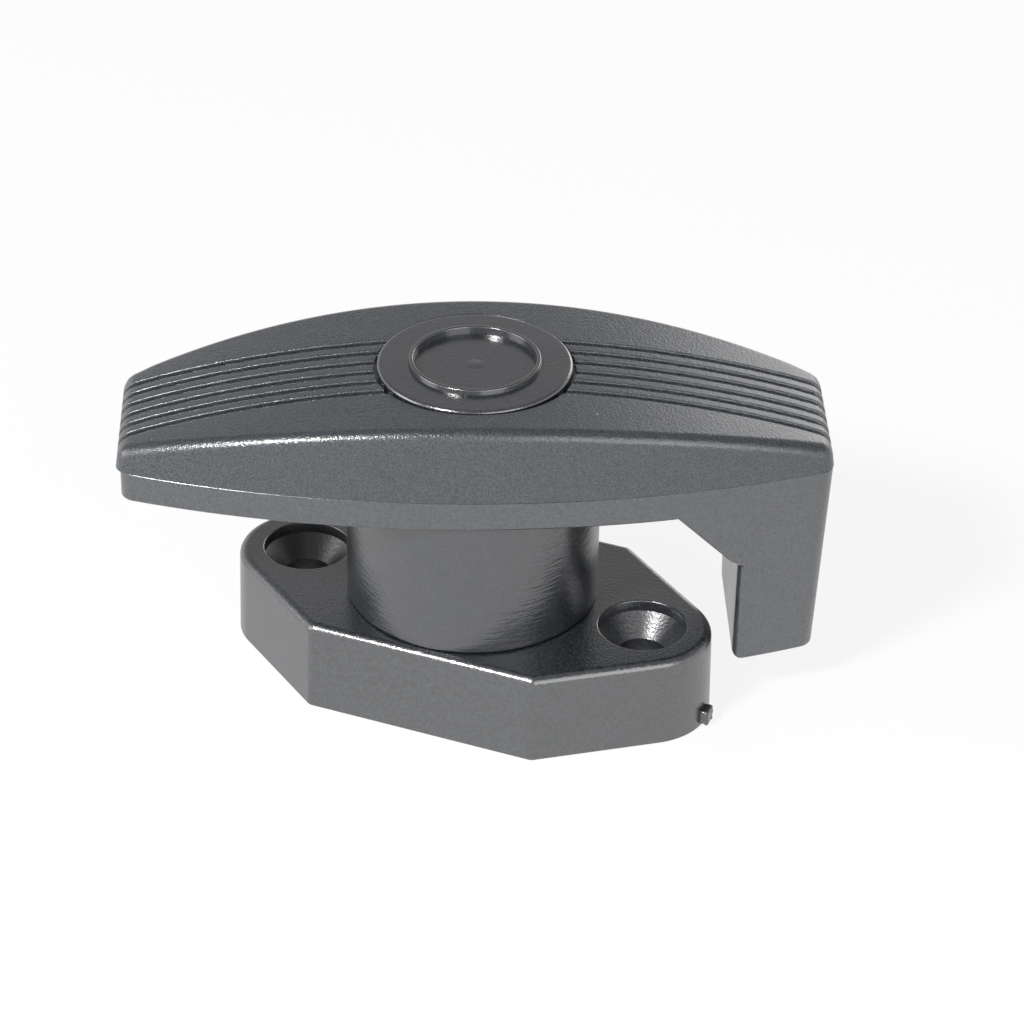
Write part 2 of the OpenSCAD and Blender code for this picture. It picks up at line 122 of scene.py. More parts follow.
class HolderSizes(bpy.types.PropertyGroup):
    """Sizes of the mouldings"""

    hole_pitch: length("Hole pitch", 50, "Distance between the two screw holes")
    base_end_r: length("Base end radius", 9.4, "Radius of the base's rounded ends")
    base_corner_r: length("Base corner radius", 1.4, "Radius where the parallel sides end")
    base_flat: length("Base flat", 34.5, "Length of the base's parallel sides")
    base_half_w: length("Base half-width", 18.2, "Half the width across the parallel sides")
    base_edge_r: length("Base edge radius", 1.2, "Rounding of the base's upper edge")
    foot_edge: length("Foot edge", 0.15, "Rounding of the base's lower edge")
    base_draft: length("Base draft", 0.2, "How much wider the foot is than the top, each side")
    base_wall: length("Base wall", 3, "Wall round the hollow underside")
    base_roof: length("Base roof", 4, "Plate above the hollow underside")
    base_rib: length("Base rib", 2, "Thickness of the ribs in the underside")
    screw_d: length("Screw hole", 6.5, "Diameter of a mounting screw hole")
    sink_d: length("Countersink", 12, "Diameter of a countersink at the top")
    sink_edge: length("Countersink edge", 0.2, "Rounding of a countersink's rim")
    sink_wall: length("Countersink wall", 1.6, "Straight wall above a countersink's cone")
    boss_d: length("Pivot boss", 18, "Diameter of the boss that the post turns on")
    hex_af: length("Hex pocket", 13.2, "Width across the flats of the bolt's pocket")
    hex_depth: length("Pocket depth", 5.9, "Depth of the bolt's pocket")
    bolt_hole_d: length("Bolt hole", 8.2, "Diameter of the hole for the pivot bolt")
    gate_w: length("Gate width", 2.2, "Width of the gate stub on the base's end")
    gate_h: length("Gate height", 2.2, "Height of the gate stub")
    gate_out: length("Gate stub", 1.1, "How far the gate stub stands out")
    gate_z: length("Gate place", 0.25, "Height of the gate stub's lower side")
    gate_edge: length("Gate edge", 0.3, "Rounding of the gate stub's edges")
    gate_rough: length("Gate roughness", 0.12, "How ragged the gate stub's end is")

    post_r: length("Post radius", 17.2, "Outside radius of the post")
    post_edge: length("Post edge", 0.35, "Rounding of the post's foot")
    well_d: length("Well", 26.4, "Diameter of the spring well")
    well_z: length("Well floor", 18.4, "Height of the spring well's floor")

    handle_half: length("Handle half-length", 47.6, "Half the length of the handle")
    handle_half_w: length("Handle half-width", 18.5, "Half the width of the handle in the middle")
    handle_end_half: length("Handle end", 10.3, "Half the width of the handle at its ends")
    cover_end_h: length("Cover end height", 3.2, "Height of the cover at its ends")
    cover_edge_r: length("Cover edge radius", 1.5, "Rounding of the cover's rim and corners")
    body_corner_r: length("Lower corner radius", 1.5, "Rounding of the lower half's corners")
    side_draft: length("Side draft", 0.4, "How far the cover's sides lean in")
    end_draft: length("End draft", 0.4, "How far the cover's ends lean in")
    handle_wall: length("Handle wall", 2.4, "Wall of both halves of the handle")
    seam_edge: length("Seam edge", 0.18, "Rounding of both halves along the seam")
    seam_step: length("Seam step", 0.08, "Inset of the lower half from the cover")
    body_h: length("Lower half height", 4.5, "Height of the lower half's arm")
    body_edge_r: length("Lower edge radius", 0.4, "Rounding of the lower half's edges")
    end_overhang: length("End overhang", 0.6, "Overhang of the cover at the plain end")
    handle_angle: turn("Handle angle", 24, "Angle of the handle from the line of the holes")
    groove_count: IntProperty(
        name="Grooves", description="Number of grip grooves along the cover", default=6
    )
    groove_pitch: length("Groove pitch", 2.6, "Distance between grip grooves")

    hook_x: length("Hook reach", 35.2, "Distance of the hook's inner face from the pivot")
    hook_drop: length("Hook drop", 25.7, "How far the hook hangs below the arm")
    hook_gusset: length("Hook gusset", 8.5, "Length of the gusset in the hook's inner corner")
    gusset_h: length("Gusset height", 9.5, "Height of that gusset")
    hook_taper: length("Hook taper", 3.5, "How far the sides have drawn in at the hook's tip")
    hook_lean: length("Hook lean", 1.1, "How far the hook's outer face has leaned in at the tip")
    hook_edge_r: length("Hook edge radius", 1.4, "Rounding of the edges of its inner face")

    cap_r: length("Cap radius", 13.1, "Radius of the cap's flange")
    cap_t: length("Cap flange", 1.6, "Thickness of the cap's flange")
    ring_r: length("Ring radius", 8.9, "Outside radius of the cap's raised ring")
    ring_w: length("Ring width", 0.75, "Width of the raised ring")
    ring_h: length("Ring height", 0.7, "Height of the raised ring")
    dish_depth: length("Dish depth", 0.35, "Depth of the cap's dish below its flange")
    skirt_r: length("Skirt radius", 10.8, "Outside radius of the cap's snap skirt")
    skirt_h: length("Skirt length", 3.6, "Length of the snap skirt")
    skirt_wall: length("Skirt wall", 1.4, "Wall of the snap skirt")
    skirt_slot: length("Skirt slot", 3, "Width of the slots that part the skirt")
    seat_gap: length("Seat gap", 0.35, "Gap round the cap in its seat")
    seat_edge: length("Seat edge", 0.12, "Rounding of the seat's rim")
    seat_web: length("Seat web", 2.2, "Thickness of the cover under the cap")

    cover_screw_x: length("Cover screw place", 22.75, "Distance of a cover screw from the pivot")
    cover_screw_d: length("Cover screw", 3.2, "Diameter of a cover screw's hole")
    cover_head_d: length("Cover screw head", 5.9, "Diameter of the hole for its head")
    cover_boss_d: length("Cover screw boss", 7.5, "Diameter of the boss round the screw")
    screw_floor: length("Screw floor", 1.6, "Thickness of the lower half above a screw's head")
    screw_bite: length("Screw bite", 5.5, "Depth of the screw's hole in the cover")


class HolderFinish(bpy.types.PropertyGroup):
    """Colours of the finishes"""

    black: colour("Black", (0.008, 0.009, 0.011), "Moulded black plastic")
    satin: colour("Satin black", (0.024, 0.027, 0.033), "The smoother black mouldings")
    worn: colour("Worn black", (0.050, 0.057, 0.068), "The same on the heights of its grain")
    dust: colour("Dust", (0.35, 0.34, 0.31), "Specks of dust in the grain")
    zinc: colour("Zinc", (0.62, 0.63, 0.62), "Zinc-plated steel")
    wire: colour("Spring wire", (0.45, 0.46, 0.47), "Oiled spring wire")
    nylon: colour("Nylon", (0.12, 0.22, 0.45), "The lock nut's nylon ring")
    floor: colour("Floor", (0.96, 0.96, 0.96), "Pale floor")


class HolderStudio(bpy.types.PropertyGroup):
    """Camera and light"""

    azimuth: turn("Azimuth", 22.5, "Turn of the camera about the pivot")
    elevation: turn("Elevation", 32.06, "Height of the camera above the horizon")
    roll: turn("Roll", 0.66, "Roll of the camera")
    distance: length("Distance", 544, "Distance of the camera from its aim")
    aim_z: length("Aim height", 25, "Height that the camera looks at")
    focal: share("Focal length", 140.625, "Focal length in millimetres on a 36 mm sensor")
    shift_x: share("Shift X", 0.0378, "Sideways shift of the picture")
    shift_y: share("Shift Y", -0.0014, "Upward shift of the picture")
    sky: share("Sky", 0.40, "Strength of the even light from all round")
    ceiling: share("Ceiling", 0.68, "How much darker the ceiling is than the walls")


# Handling of meshes


def clear_hands():
    """Leave object mode only, with nothing selected."""
    if bpy.context.mode != "OBJECT":
        bpy.ops.object.mode_set(mode="OBJECT")
    bpy.ops.object.select_all(action="DESELECT")


def take(piece):
    """Select one piece alone and make it active."""
    clear_hands()
    piece.select_set(True)
    bpy.context.view_layer.objects.active = piece
    return piece


@contextmanager
def editing(piece):
    """Edit mode on one piece."""
    take(piece)
    bpy.ops.object.mode_set(mode="EDIT")
    yield
    bpy.ops.object.mode_set(mode="OBJECT")


def settle(name):
    """Name the new primitive and put its place into its mesh."""
    bpy.ops.object.transform_apply(location=True, rotation=True, scale=True)
    piece = bpy.context.object
    piece.name = name
    piece.data.name = name
    return piece


def add_box(name, low, high):
    """A box between two corners."""
    clear_hands()
    low, high = Vector(low), Vector(high)
    bpy.ops.mesh.primitive_cube_add(size=1, location=(low + high) / 2, scale=high - low)
    return settle(name)


def add_rod(name, radius, low_z, high_z, x=0.0, y=0.0, top_radius=None, sides=96):
    """An upright rod, or a cone where it has a top radius."""
    clear_hands()
    place = (x, y, (low_z + high_z) / 2)
    bpy.ops.mesh.primitive_cone_add(
        vertices=sides,
        radius1=radius,
        radius2=radius if top_radius is None else top_radius,
        depth=high_z - low_z,
        location=place,
    )
    return settle(name)


def pick(kind, test):
    """Select the vertices, edges or faces of the mesh in hand that pass the test."""
    bpy.ops.mesh.select_mode(type=kind)
    bpy.ops.mesh.select_all(action="DESELECT")
    mesh = bpy.context.edit_object.data
    shape = bmesh.from_edit_mesh(mesh)
    found = [e for e in {"VERT": shape.verts, "EDGE": shape.edges, "FACE": shape.faces}[kind]
             if test(e)]
    for element in found:
        element.select_set(True)
    bmesh.update_edit_mesh(mesh)
    if not found:
        raise RuntimeError(f"{bpy.context.edit_object.name}: nothing there to select")


def at(**place):
    """A test for vertices at the given coordinates."""
    return lambda v: all(abs(getattr(v.co, axis) - value) < TINY for axis, value in place.items())


def move(x=0.0, y=0.0, z=0.0):
    """Move what is selected."""
    bpy.ops.transform.translate(value=(x, y, z))


def widen(y, x=1.0):
    """Scale what is selected across the handle, and along it where asked."""
    bpy.ops.transform.resize(value=(x, y, 1), center_override=(0, 0, 0))


def round_edges(test, radius, segments):
    """Round the edges that pass the test."""
    pick("EDGE", test)
    bpy.ops.mesh.bevel(
        offset=radius, segments=segments, profile=0.5, affect="EDGES", clamp_overlap=False
    )


def cut_across(axis, places):
    """Cut the mesh in hand by planes across one axis."""
    for place in places:
        bpy.ops.mesh.select_mode(type="VERT")
        bpy.ops.mesh.select_all(action="SELECT")
        point = Vector((place if axis == n else 0 for n in "xyz"))
        normal = Vector((1 if axis == n else 0 for n in "xyz"))
        bpy.ops.mesh.bisect(plane_co=point, plane_no=normal, threshold=TINY / 4)


def spread(low, high, steps):
    """Evenly spread places from low to high."""
    return [low + (high - low) * i / steps for i in range(steps + 1)]


def combine(piece, tool, operation="DIFFERENCE"):
    """Cut a tool out of a piece, or weld it on, and drop the tool."""
    take(piece)
    bpy.ops.object.modifier_add(type="BOOLEAN")
    step = piece.modifiers[-1]
    step.operation = operation
    step.solver = "EXACT"
    step.object = tool
    bpy.ops.object.modifier_apply(modifier=step.name)
    bpy.data.objects.remove(tool)
    if not piece.data.polygons:
        raise RuntimeError(f"{piece.name}: nothing is left of it")
    return piece


def turned(name, profile, steps=128):
    """A piece turned about the pivot from a profile of radius and height."""
    clear_hands()
    (r, z) = profile[0]
    bpy.ops.mesh.primitive_plane_add(size=MM, location=(r, 0, z))
    piece = settle(name)
    with editing(piece):
        bpy.ops.mesh.select_mode(type="VERT")
        bpy.ops.mesh.select_all(action="SELECT")
        bpy.ops.mesh.merge(type="CENTER")
        for (r0, z0), (r1, z1) in zip(profile, profile[1:]):
            bpy.ops.mesh.extrude_vertices_move(
                TRANSFORM_OT_translate={"value": (r1 - r0, 0, z1 - z0)}
            )
        bpy.ops.mesh.select_all(action="SELECT")
        bpy.ops.mesh.spin(steps=steps, angle=math.tau, center=(0, 0, 0), axis=(0, 0, 1))
        bpy.ops.mesh.select_all(action="SELECT")
        bpy.ops.mesh.remove_doubles(threshold=TINY)
        bpy.ops.mesh.normals_make_consistent(inside=False)
    return piece


def arc(centre, radius, start, end, steps):
    """Points of an arc in a profile, angles in degrees."""
    return [
        (centre[0] + radius * math.cos(a), centre[1] + radius * math.sin(a))
        for a in spread(math.radians(start), math.radians(end), steps)
    ]


def smooth(piece, degrees=32):
    """Smooth shading with crisp edges, weighted by the size of the faces."""
    take(piece)
    bpy.ops.object.shade_smooth_by_angle(angle=math.radians(degrees))
    bpy.ops.object.modifier_add(type="WEIGHTED_NORMAL")
    step = piece.modifiers[-1]
    step.keep_sharp = True
    step.weight = 60
    bpy.ops.object.modifier_apply(modifier=step.name)


def turn_to_handle(piece, sizes):
    """Turn a piece drawn along X to the handle's angle."""
    take(piece)
    piece.rotation_euler.z = sizes.handle_angle
    bpy.ops.object.transform_apply(location=True, rotation=True, scale=True)


def hand_over(piece, body, slot, material, *nodes):
    """Give a finished piece its finish and its body, and hide the nodes that it stands for."""
    clear_hands()
    piece.data.materials.clear()
    piece.data.materials.append(material)
    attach(piece, body)
    if nodes:
        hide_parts(*nodes)


# Form of the handle


def arc_fall(x, half, rise):
    """Fall at x of the arc that rises by rise over half a length."""
    radius = (half * half + rise * rise) / (2 * rise)
    return radius - math.sqrt(radius * radius - x * x)


def handle_w(s, x):
    """Half-width of the handle at the seam."""
    return s.handle_half_w - arc_fall(x, s.handle_half, s.handle_half_w - s.handle_end_half)


def dome(s, x):
    """Height of the top of the cover."""
    return CROWN - arc_fall(x, s.handle_half, CROWN - SEAM - s.cover_end_h)


def bowed_block(s, name, inset, low_z, drop, draft, steps):
    """A block with the handle's bowed plan drawn in by inset, under its dome lowered by drop."""
    reach = s.handle_half - inset
    top = dome(s, 0) - drop
    middle_z = (low_z + dome(s, reach) - drop) / 2
    block = add_box(name, (-reach, -s.handle_half_w, low_z), (reach, s.handle_half_w, top))
    plain = 4.2 * MM
    places = [-reach, *spread(plain - reach, reach - plain, steps), reach]
    with editing(block):
        cut_across("x", places[1:-1])
        for x in places:
            half = handle_w(s, x) - inset
            pick("VERT", at(x=x))
            widen(half / s.handle_half_w)
            pick("VERT", lambda v: abs(v.co.x - x) < TINY and v.co.z > middle_z)
            move(z=dome(s, x) - drop - top)
            widen((half - draft) / half)
    return block


def sharp(edge):
    """Whether the faces beside an edge turn a corner."""
    return edge.calc_face_angle(0) > CORNER


def upright(edge):
    """Whether an edge stands up and turns a corner."""
    a, b = (v.co for v in edge.verts)
    return abs(a.z - b.z) > 0.9 * (a - b).length and sharp(edge)


def groove_lines(s):
    """Places across the cover of the lines of its grooves, and the depth of each."""
    # Half-width and depth of each line of a groove, in millimetres
    profile = ((0.76, 0.0), (0.69, 0.015), (0.63, 0.055), (0.58, 0.12), (0.54, 0.25), (0.50, 0.50),
               (0.46, 0.66), (0.38, 0.74), (0.14, 0.77))
    first = -s.groove_pitch * (s.groove_count - 1) / 2
    for i in range(s.groove_count):
        for half, depth in profile:
            for side in (-1, 1):
                yield first + i * s.groove_pitch + side * half * MM, depth * MM


class HOLDER_OT_grip_cover(bpy.types.Operator):
    """Model the grained upper half of the handle, with its grip grooves and the cap's seat"""

    bl_idname = "holder.grip_cover"
    bl_label = "Grip cover"

    def execute(self, context):
        s = context.scene.holder_sizes
        cover = bowed_block(s, "grip_cover", 0, SEAM, 0, s.side_draft, 56)
        with editing(cover):
            self.round_off(s)
            self.cut_grooves(s)
        self.hollow_out(s, cover)
        self.cut_seat(s, cover)
        smooth(cover)
        turn_to_handle(cover, s)
        hand_over(cover, "handle", "grained_plastic", grained_plastic(), "handle_cover")
        return {"FINISHED"}

    def round_off(self, s):
        """Lean the ends in, and round the corners, the rim and the edge at the seam."""
        for side in (-1, 1):
            pick("VERT", lambda v: side * v.co.x > s.handle_half - TINY and v.co.z > SEAM + MM)
            move(x=-side * s.end_draft)
        round_edges(
            lambda e: upright(e) or (sharp(e) and min(v.co.z for v in e.verts) > SEAM + MM),
            s.cover_edge_r, 6,
        )
        round_edges(
            lambda e: sharp(e) and max(v.co.z for v in e.verts) < SEAM + TINY,
            s.seam_edge, 3,
        )

    def cut_grooves(self, s):
        """Cut the lines of the grooves along the cover and push them down; the seam stays whole."""
        lines = list(groove_lines(s))
        cut_across("y", [y for y, depth in lines])
        for y, depth in lines:
            if depth:
                pick("VERT", lambda v: abs(v.co.y - y) < TINY and v.co.z > SEAM + MM)
                move(z=-depth)
        pick("FACE", lambda f: f.normal.z < -0.99)
        bpy.ops.mesh.dissolve_faces()

    def hollow_out(self, s, cover):
        """Hollow the cover, but for the ring under the cap and the bosses for the screws."""
        room = bowed_block(s, "room", s.handle_wall, SEAM - MM, s.handle_wall, 0, 24)
        seat_z = CAP_TOP - s.ring_h - s.cap_t
        ring_r = s.cap_r + s.seat_gap + s.handle_wall
        combine(room, add_rod("ring", ring_r, seat_z - s.seat_web, CROWN + MM))
        for side in (-1, 1):
            x = side * s.cover_screw_x
            combine(room, add_rod("boss", s.cover_boss_d / 2, SEAM, CROWN, x=x, sides=32))
        combine(cover, room)
        for side in (-1, 1):
            x = side * s.cover_screw_x
            hole = add_rod("hole", s.cover_screw_d / 2, SEAM - MM, SEAM + s.screw_bite, x=x,
                           sides=24)
            combine(cover, hole)

    def cut_seat(self, s, cover):
        """Cut the cap's seat and the hole for its skirt, and ease the edge of the seat."""
        seat_z = CAP_TOP - s.ring_h - s.cap_t
        seat_r = s.cap_r + s.seat_gap
        combine(cover, add_rod("seat", seat_r, seat_z, CROWN + 2 * MM, sides=128))
        hole_r = s.skirt_r + s.seat_gap
        combine(cover, add_rod("skirt_hole", hole_r, SEAM - MM, CROWN + MM, sides=128))
        with editing(cover):
            round_edges(
                lambda e: e.calc_face_angle(0) > 0.7 and all(
                    abs(v.co.xy.length - seat_r) < 0.03 * MM and v.co.z > seat_z + 0.3 * MM
                    for v in e.verts),
                s.seat_edge, 3,
            )


class HOLDER_OT_lower_handle(bpy.types.Operator):
    """Model the smooth lower half of the handle, with its hook and its post"""

    bl_idname = "holder.lower_handle"
    bl_label = "Lower handle"

    def execute(self, context):
        s = context.scene.holder_sizes
        self.under = SEAM - s.body_h
        self.tip = self.under - s.hook_drop
        body = self.block(s)
        self.open_up(s, body)
        self.add_post(s, body)
        smooth(body)
        turn_to_handle(body, s)
        hand_over(body, "handle", "smooth_plastic", smooth_plastic(s), "handle_body")
        return {"FINISHED"}

    def inset(self, s, z):
        """Inset of the sides at a height: one even lean from the seam to the hook's tip."""
        return s.seam_step + s.hook_taper * (SEAM - z) / (SEAM - self.tip)

    def block(self, s):
        """The arm, with the hook drawn down from its end."""
        start, end = s.end_overhang - s.handle_half, s.handle_half - s.seam_step
        low = self.under - s.gusset_h
        body = add_box("lower_handle", (start, -s.handle_half_w, self.under),
                       (end, s.handle_half_w, SEAM))
        arm = [start, *spread(start + 4 * MM, s.hook_x - s.hook_gusset, 36)]
        hook = spread(s.hook_x, end, 5)
        levels = [(x, (self.under, SEAM)) for x in arm] + [(x, (self.tip, low, SEAM)) for x in hook]
        with editing(body):
            cut_across("x", arm[1:] + hook[:-1])
            pick("VERT", lambda v: v.co.x > s.hook_x - TINY and v.co.z < self.under + TINY)
            move(z=low - self.under)
            pick("FACE", lambda f: f.normal.z < -0.9 and f.calc_center_median().x > s.hook_x)
            bpy.ops.mesh.extrude_region_move(
                TRANSFORM_OT_translate={"value": (0, 0, self.tip - low)}
            )
            for x, heights in levels:
                for z in heights:
                    pick("VERT", at(x=x, z=z))
                    widen((handle_w(s, x) - self.inset(s, z)) / s.handle_half_w)
            for x, heights in levels[len(arm):]:
                for z in heights:
                    pick("VERT", at(x=x, z=z))
                    out = (x - s.hook_x) / (end - s.hook_x)
                    move(x=-s.hook_lean * out * (SEAM - z) / (SEAM - self.tip))
            self.round_off(s, start)
        return body

    def round_off(self, s, start):
        """Round the upright corners of both ends, then the other outer edges, then the seam's."""
        round_edges(
            lambda e: upright(e) and (
                e.verts[0].co.x < start + MM or e.verts[0].co.x > s.hook_x + 5 * MM),
            s.body_corner_r, 5,
        )
        low = self.under - s.gusset_h
        round_edges(
            lambda e: e.is_convex and sharp(e) and all(
                abs(v.co.x - s.hook_x) < TINY and v.co.z < low + TINY for v in e.verts),
            s.hook_edge_r, 5,
        )
        round_edges(
            lambda e: e.is_convex and sharp(e)
            and min(v.co.z for v in e.verts) < SEAM - TINY,
            s.body_edge_r, 4,
        )
        round_edges(
            lambda e: sharp(e) and min(v.co.z for v in e.verts) > SEAM - TINY,
            s.seam_edge, 3,
        )

    def open_up(self, s, body):
        """Hollow the arm and the hook from the seam, as they are moulded."""
        inset = s.handle_wall + self.inset(s, self.under)
        room = bowed_block(s, "room", inset, self.under + s.handle_wall, -MM, 0, 24)
        combine(body, room)
        x0 = s.hook_x + s.handle_wall
        x1 = s.handle_half - s.seam_step - s.handle_wall - s.hook_lean
        half = handle_w(s, x1) - self.inset(s, self.tip) - s.handle_wall
        well = add_box("well", (x0, -half, self.tip + s.handle_wall), (x1, half, SEAM + MM))
        combine(body, well)

    def add_post(self, s, body):
        """Weld the post and the screw bosses on, and bore them."""
        post = add_rod("post", s.post_r, FOOT, SEAM, sides=160)
        with editing(post):
            round_edges(lambda e: all(v.co.z < FOOT + TINY for v in e.verts), s.post_edge, 3)
        combine(body, post, "UNION")
        for side in (-1, 1):
            x = side * s.cover_screw_x
            boss = add_rod("boss", s.cover_boss_d / 2, self.under + MM, SEAM, x=x, sides=48)
            combine(body, boss, "UNION")
        combine(body, add_rod("well", s.well_d / 2, s.well_z, SEAM + MM))
        recess_top = FOOT + BOSS_H + RUN_GAP
        combine(body, add_rod("recess", s.boss_d / 2 + RUN_GAP, FOOT - MM, recess_top))
        combine(body, add_rod("bore", s.bolt_hole_d / 2, FOOT, SEAM, sides=48))
        for side in (-1, 1):
            x = side * s.cover_screw_x
            head = add_rod("head", s.cover_head_d / 2, self.under - MM, SEAM - s.screw_floor, x=x,
                           sides=48)
            combine(body, head)
            shank = add_rod("shank", s.cover_screw_d / 2, self.under, SEAM + MM, x=x, sides=32)
            combine(body, shank)


class HOLDER_OT_base_moulding(bpy.types.Operator):
    """Model the lozenge base, with its countersunk holes and ribbed underside"""

    bl_idname = "holder.base_moulding"
    bl_label = "Base moulding"

    def execute(self, context):
        s = context.scene.holder_sizes
        base = self.lozenge(s, "base_moulding", 0, 0, BASE_TOP)
        with editing(base):
            pick("VERT", lambda v: v.co.z < TINY)
            widen(1 + s.base_draft / s.base_half_w,
                  1 + s.base_draft / (s.hole_pitch / 2 + s.base_end_r))
            round_edges(lambda e: all(v.co.z > BASE_TOP - TINY for v in e.verts), s.base_edge_r, 5)
            round_edges(lambda e: all(v.co.z < TINY for v in e.verts), s.foot_edge, 3)
        self.add_stub(s, base)
        combine(base, add_rod("boss", s.boss_d / 2, BASE_TOP - MM, BASE_TOP + BOSS_H), "UNION")
        self.hollow_out(s, base)
        self.bore(s, base)
        smooth(base)
        hand_over(base, "base", "base_plastic", base_plastic(s), "base_plate")
        return {"FINISHED"}

    def lozenge(self, s, name, inset, low_z, high_z):
        """Two rounded ends and four corners, drawn in by inset, wrapped in one skin."""
        corner_x = s.base_flat / 2 - s.base_corner_r
        corner_y = s.base_half_w - s.base_corner_r
        corner_r = s.base_corner_r - inset
        ends = [(x * s.hole_pitch / 2, 0, s.base_end_r - inset, 96) for x in (-1, 1)]
        shrink = min(corner_r, 0)
        least_r = 0.2 * MM
        corners = [
            (x * (corner_x + shrink / 2), y * (corner_y + shrink), max(corner_r, least_r), 48)
            for x in (-1, 1) for y in (-1, 1)
        ]
        rods = [add_rod(name, r, low_z, high_z, x=x, y=y, sides=n) for x, y, r, n in ends + corners]
        clear_hands()
        for rod in rods:
            rod.select_set(True)
        bpy.context.view_layer.objects.active = rods[0]
        bpy.ops.object.join()
        block = bpy.context.object
        block.name = name
        with editing(block):
            bpy.ops.mesh.select_all(action="SELECT")
            bpy.ops.mesh.convex_hull()
            bpy.ops.mesh.select_all(action="SELECT")
            bpy.ops.mesh.dissolve_limited(angle_limit=math.radians(0.3))
        return block

    def add_stub(self, s, base):
        """The ragged stub of the gate, broken off low on the end of the base."""
        reach = s.hole_pitch / 2 + s.base_end_r
        stub = add_box("stub", (reach - MM, -0.75 * s.gate_w, s.gate_z),
                       (reach + s.gate_out, 0.25 * s.gate_w, s.gate_z + s.gate_h))
        with editing(stub):
            round_edges(lambda e: any(v.co.x > reach for v in e.verts), s.gate_edge, 3)
            bpy.ops.mesh.select_all(action="SELECT")
            bpy.ops.mesh.subdivide(number_cuts=2)
            pick("VERT", lambda v: v.co.x > reach + 0.3 * s.gate_out)
            bpy.ops.transform.vertex_random(offset=s.gate_rough, seed=3)
        combine(base, stub, "UNION")

    def hollow_out(self, s, base):
        """The hollow underside, less its ribs and the bosses for the screws and the bolt."""
        roof = BASE_TOP - s.base_roof
        room = self.lozenge(s, "room", s.base_wall, -MM, roof)
        for side in (-1, 1):
            x = side * s.hole_pitch / 2
            combine(room, add_rod("boss", s.screw_d / 2 + s.base_wall, -2 * MM, BASE_TOP, x=x))
        hex_r = s.hex_af / 2 / math.cos(math.radians(30))
        combine(room, add_rod("boss", hex_r + s.base_wall, -2 * MM, BASE_TOP))
        reach = s.hole_pitch
        thin = s.base_rib / 2
        combine(room, add_box("rib", (-reach, -thin, -2 * MM), (reach, thin, BASE_TOP)))
        combine(room, add_box("rib", (-thin, -reach, -2 * MM), (thin, reach, BASE_TOP)))
        combine(base, room)
        combine(base, add_rod("pocket", hex_r, -MM, s.hex_depth, sides=6))

    def bore(self, s, base):
        """The countersunk screw holes and the hole for the pivot bolt."""
        cone_top = BASE_TOP - s.sink_wall
        cone_h = (s.sink_d - s.screw_d) / 2
        for side in (-1, 1):
            x = side * s.hole_pitch / 2
            combine(base, add_rod("hole", s.screw_d / 2, -MM, BASE_TOP + MM, x=x, sides=128))
            sink = add_rod("sink", s.screw_d / 2, cone_top - cone_h, cone_top, x=x,
                           top_radius=s.sink_d / 2, sides=128)
            with editing(sink):
                pick("FACE", lambda f: f.normal.z > 0.9)
                bpy.ops.mesh.extrude_region_move(
                    TRANSFORM_OT_translate={"value": (0, 0, s.sink_wall + MM)}
                )
            combine(base, sink)
        combine(base, add_rod("bore", s.bolt_hole_d / 2, 0, BASE_TOP + 4 * MM, sides=64))
        with editing(base):
            rim = s.sink_d / 2
            round_edges(
                lambda e: all(v.co.z > BASE_TOP - TINY and abs(
                    Vector((abs(v.co.x) - s.hole_pitch / 2, v.co.y)).length - rim) < 0.02 * MM
                    for v in e.verts),
                s.sink_edge, 3,
            )


class HOLDER_OT_snap_cap(bpy.types.Operator):
    """Turn the round cap with its raised ring and dish, and part its skirt into legs"""

    bl_idname = "holder.snap_cap"
    bl_label = "Snap cap"

    def execute(self, context):
        s = context.scene.holder_sizes
        top = CAP_TOP - s.ring_h
        seat = top - s.cap_t
        floor = top - s.dish_depth
        rim, tip, draft = 0.5 * MM, 0.16 * MM, 0.08 * MM
        mark_r, mark_foot, mark_h = 1.2 * MM, 1.35 * MM, 0.02 * MM
        dish_r = s.ring_r - s.ring_w
        profile = (
            [(0, floor + mark_h), (mark_r, floor + mark_h), (mark_foot, floor), (dish_r, floor)]
            + arc((dish_r + draft + tip, CAP_TOP - tip), tip, 180, 90, 4)
            + arc((s.ring_r - draft - tip, CAP_TOP - tip), tip, 90, 0, 4)
            + [(s.ring_r, top)]
            + arc((s.cap_r - rim, top - rim), rim, 90, 0, 5)
            + [(s.cap_r, seat), (s.skirt_r, seat), (s.skirt_r, seat - s.skirt_h),
               (s.skirt_r - s.skirt_wall, seat - s.skirt_h), (s.skirt_r - s.skirt_wall, seat),
               (0, seat)]
        )
        cap = turned("snap_cap", profile)
        for angle in (45, 135):
            slot = add_box("slot", (-s.cap_r, -s.skirt_slot / 2, seat - s.skirt_h - MM),
                           (s.cap_r, s.skirt_slot / 2, seat - 0.02 * MM))
            slot.rotation_euler.z = math.radians(angle)
            take(slot)
            bpy.ops.object.transform_apply(rotation=True)
            combine(cap, slot)
        smooth(cap, 40)
        turn_to_handle(cap, s)
        hand_over(cap, "handle", "cap_plastic", cap_plastic(), "centre_cap")
        return {"FINISHED"}


